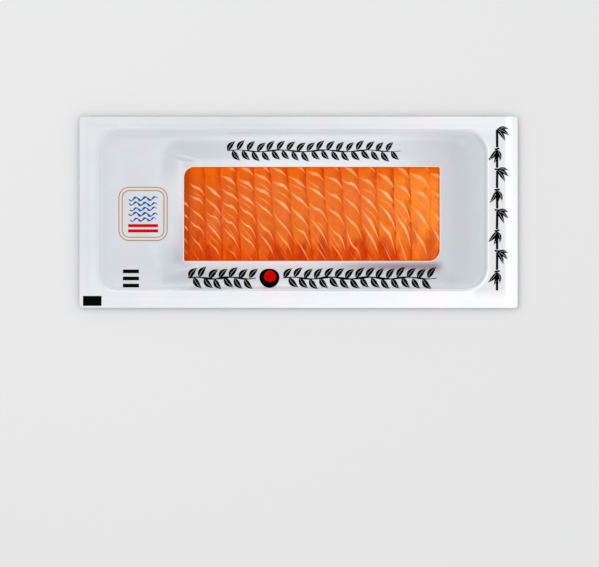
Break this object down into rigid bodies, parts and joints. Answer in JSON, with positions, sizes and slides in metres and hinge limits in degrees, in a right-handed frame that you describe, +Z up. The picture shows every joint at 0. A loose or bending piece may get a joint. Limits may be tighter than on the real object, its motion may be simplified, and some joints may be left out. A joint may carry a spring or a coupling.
{
  "type": "pack of smoked salmon",
  "caption": "Flat rectangular vacuum pack: a shallow tray sealed with printed film, whose clear window shows a slab of shingled salmon slices.",
  "frame": {"origin": "middle of the pack's underside, below the centre of its bounding box", "axes": "+X along the pack, from the badge end to the end with the column of marks; +Y across it, towards the edge with the lighter upper headline; +Z up, out of the window"},
  "size_m": [0.3, 0.131, 0.0135],
  "materials": {
    "tray_web": "silver-white satin laminate",
    "salmon": "moist orange fish with pale fat lines",
    "printed_film": "pearl-silver satin film with black, red, blue and tan print",
    "clear_film": "clear gloss film"
  },
  "bodies": {
    "root": {"bottom_web": "tray_web", "slice_01": "salmon", "slice_02": "salmon", "slice_03": "salmon", "slice_04": "salmon", "slice_05": "salmon", "slice_06": "salmon", "slice_07": "salmon", "slice_08": "salmon", "slice_09": "salmon", "slice_10": "salmon", "slice_11": "salmon", "slice_12": "salmon", "slice_13": "salmon", "slice_14": "salmon", "slice_15": "salmon", "top_film": "printed_film", "window_film": "clear_film"}
  },
  "joints": []
}
